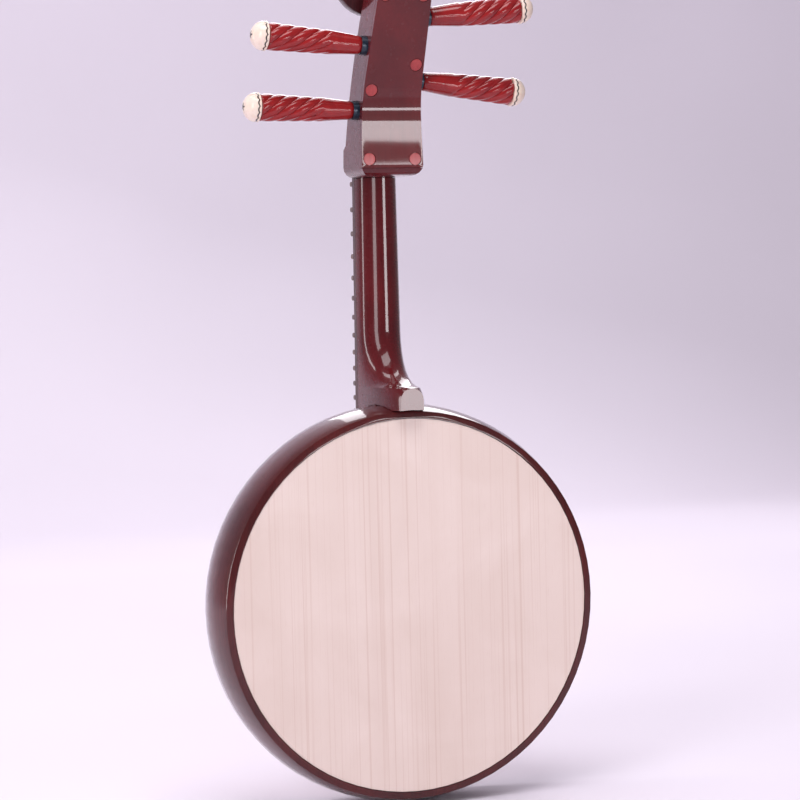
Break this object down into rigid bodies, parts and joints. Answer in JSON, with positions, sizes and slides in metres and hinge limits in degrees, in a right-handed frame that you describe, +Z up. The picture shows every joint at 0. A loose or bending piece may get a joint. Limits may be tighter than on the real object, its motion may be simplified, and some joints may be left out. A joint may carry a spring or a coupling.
{
  "type": "xiaoruan",
  "caption": "Small round-bodied plucked lute with a fretted neck, a bent-back headstock, spiral-fluted tuning pegs and a pale flat back.",
  "frame": {"origin": "centre of the back board's outer face", "axes": "+Z up the neck to the head, +Y out of the back, -Y out of the soundboard and strings"},
  "size_m": [0.27, 0.0909, 0.597],
  "materials": {
    "hoop_lacquer": "glossy dark red-brown lacquer",
    "board_wood": "bare pale paulownia, fine straight grain",
    "bar_wood": "bare softwood",
    "neck_lacquer": "glossy deep red lacquer",
    "cover_lacquer": "glossy deep red lacquer",
    "fingerboard_wood": "dark lacquered hardwood",
    "fret_horn": "dark polished horn",
    "bone": "polished bone",
    "bridge_wood": "satin hardwood",
    "ornament_wood": "dark lacquered hardwood",
    "peg_lacquer": "bright red lacquer",
    "ferrule": "dark blue satin",
    "string_steel": "wound steel",
    "plug_lacquer": "red plug"
  },
  "bodies": {
    "instrument": {"back_bar": "bar_wood", "back_board": "board_wood", "cover_plug_1": "plug_lacquer", "cover_plug_2": "plug_lacquer", "cover_plug_3": "plug_lacquer", "cover_plug_4": "plug_lacquer", "cover_plug_5": "plug_lacquer", "cover_plug_6": "plug_lacquer", "fingerboard": "fingerboard_wood", "fret_01": "fret_horn", "fret_02": "fret_horn", "fret_03": "fret_horn", "fret_04": "fret_horn", "fret_05": "fret_horn", "fret_06": "fret_horn", "fret_07": "fret_horn", "fret_08": "fret_horn", "fret_09": "fret_horn", "fret_10": "fret_horn", "fret_11": "fret_horn", "fret_12": "fret_horn", "fret_13": "fret_horn", "fret_14": "fret_horn", "fret_15": "fret_horn", "fret_16": "fret_horn", "fret_17": "fret_horn", "fret_18": "fret_horn", "fret_19": "fret_horn", "fret_20": "fret_horn", "fret_21": "fret_horn", "fret_22": "fret_horn", "fret_23": "fret_horn", "fret_24": "fret_horn", "head_cover": "cover_lacquer", "head_ornament": "ornament_wood", "headstock": "neck_lacquer", "neck": "neck_lacquer", "nut": "bone", "peg_ferrule_left_high": "ferrule", "peg_ferrule_left_low": "ferrule", "peg_ferrule_right_high": "ferrule", "peg_ferrule_right_low": "ferrule", "side_hoop": "hoop_lacquer", "soundboard": "board_wood", "soundboard_bar_lower": "bar_wood", "soundboard_bar_upper": "bar_wood", "string_1": "string_steel", "string_2": "string_steel", "string_3": "string_steel", "string_4": "string_steel", "tailpiece": "bridge_wood"},
    "peg_left_low_body": {"peg_left_low": "peg_lacquer", "peg_cap_left_low": "bone"},
    "peg_right_low_body": {"peg_right_low": "peg_lacquer", "peg_cap_right_low": "bone"},
    "peg_left_high_body": {"peg_left_high": "peg_lacquer", "peg_cap_left_high": "bone"},
    "peg_right_high_body": {"peg_right_high": "peg_lacquer", "peg_cap_right_high": "bone"},
    "bridge_body": {"bridge": "bridge_wood"}
  },
  "joints": [
    {"name": "peg_left_low_turn", "type": "hinge", "parent": "instrument", "child": "peg_left_low_body", "pos_m": [0.02092, -0.03, 0.3323], "axis": [0.9995, 0, 0.0314], "continuous": true},
    {"name": "peg_right_low_turn", "type": "hinge", "parent": "instrument", "child": "peg_right_low_body", "pos_m": [-0.02036, -0.026, 0.352], "axis": [-0.9947, 0, -0.1028], "continuous": true},
    {"name": "peg_left_high_turn", "type": "hinge", "parent": "instrument", "child": "peg_left_high_body", "pos_m": [0.01972, -0.0135, 0.3742], "axis": [0.9966, 0, 0.0819], "continuous": true},
    {"name": "peg_right_high_turn", "type": "hinge", "parent": "instrument", "child": "peg_right_high_body", "pos_m": [-0.01919, -0.007, 0.3927], "axis": [-0.9959, 0, 0.0906], "continuous": true},
    {"name": "bridge_slide", "type": "slide", "parent": "instrument", "child": "bridge_body", "axis": [0, 0, 1], "range_m": [0, 0.004]}
  ]
}
